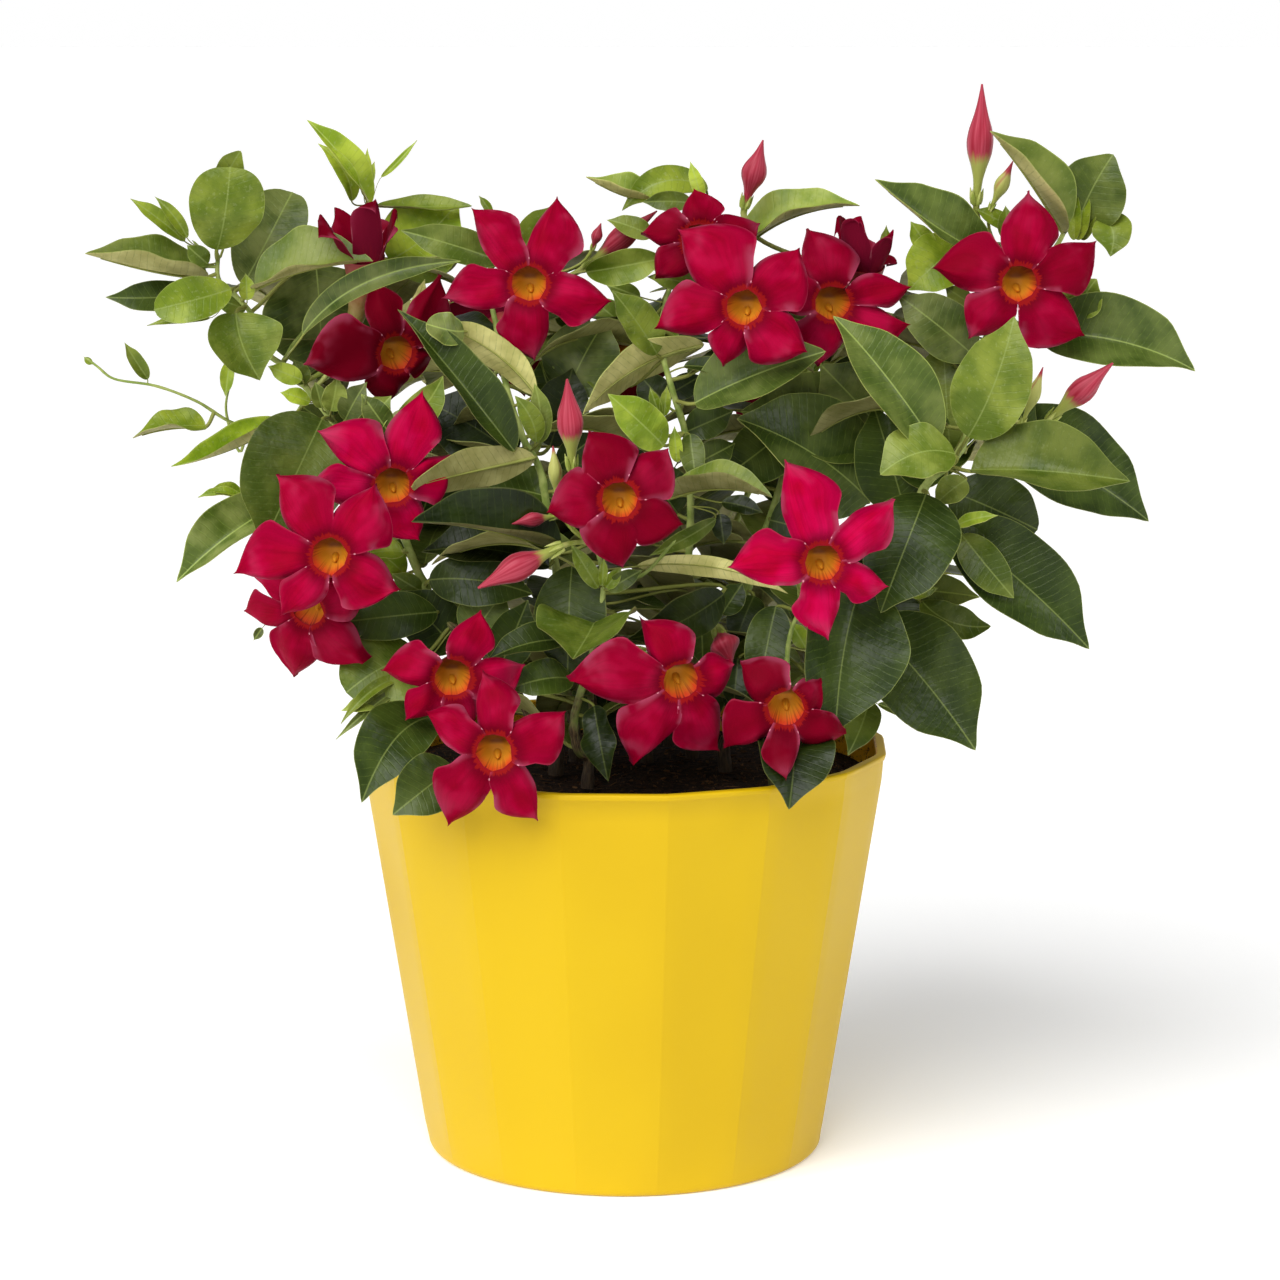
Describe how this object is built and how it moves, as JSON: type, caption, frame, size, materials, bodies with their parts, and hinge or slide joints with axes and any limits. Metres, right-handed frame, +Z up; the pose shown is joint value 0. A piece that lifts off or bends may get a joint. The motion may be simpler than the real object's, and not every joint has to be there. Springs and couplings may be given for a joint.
{
  "type": "potted mandevilla plant",
  "caption": "Climbing mandevilla with crimson funnel flowers, buds and glossy leaves on vines rooted in soil, in a tapering faceted yellow pot with a flat base.",
  "frame": {"origin": "centre of the pot's flat underside", "axes": "+Z up the pot's axis, -Y towards the front of the plant, +X to the right seen from the front"},
  "size_m": [0.4828, 0.2892, 0.4674],
  "materials": {
    "pot_plastic": "satin moulded plastic",
    "potting_soil": "dark peat with fibres and bark",
    "vine_stem": "green to tan woody stem",
    "leaf_blade": "glossy leaf with a matte pale underside",
    "petal": "velvety petal",
    "flower_bud": "smooth furled bud"
  },
  "bodies": {
    "root": {"pot": "pot_plastic", "soil": "potting_soil", "vine_left": "vine_stem", "vine_middle_left": "vine_stem", "vine_centre": "vine_stem", "vine_centre_high": "vine_stem", "vine_right_centre": "vine_stem", "vine_right": "vine_stem", "vine_right_front": "vine_stem", "vine_back_left": "vine_stem", "vine_back_right": "vine_stem", "twig_left": "vine_stem", "leaf_top_left_round": "leaf_blade", "leaf_top_left_grey": "leaf_blade", "leaf_far_left": "leaf_blade", "leaf_left_large": "leaf_blade", "leaf_left_low_grey": "leaf_blade", "leaf_left_front": "leaf_blade", "leaf_middle_dark": "leaf_blade", "leaf_middle_crossing": "leaf_blade", "leaf_centre_large": "leaf_blade", "leaf_right_upper": "leaf_blade", "leaf_right_glossy": "leaf_blade", "leaf_right_bright": "leaf_blade", "leaf_far_right": "leaf_blade", "leaf_right_side": "leaf_blade", "leaf_right_behind": "leaf_blade", "leaf_right_front": "leaf_blade", "leaf_right_lower": "leaf_blade", "leaf_right_low": "leaf_blade", "leaf_right_hanging": "leaf_blade", "leaf_over_rim_left": "leaf_blade", "leaf_back_left": "leaf_blade", "leaf_back_middle": "leaf_blade", "leaf_back_right": "leaf_blade", "flower_upper_left": "petal", "flower_far_right": "petal", "flower_upper_middle": "petal", "flower_upper_right": "petal", "flower_top_middle": "petal", "flower_top_right": "petal", "flower_left_shaded": "petal", "flower_top_left": "petal", "flower_left_high": "petal", "flower_left_outer": "petal", "flower_left_low": "petal", "flower_lower_left": "petal", "flower_over_rim": "petal", "flower_centre": "petal", "flower_right_front": "petal", "flower_lower_middle": "petal", "flower_lower_right": "petal", "bud_tallest": "flower_bud", "bud_top_middle": "flower_bud", "bud_top_lying": "flower_bud", "bud_centre": "flower_bud", "bud_pointing_left": "flower_bud", "bud_far_right": "flower_bud", "bud_hanging": "flower_bud"}
  },
  "joints": []
}
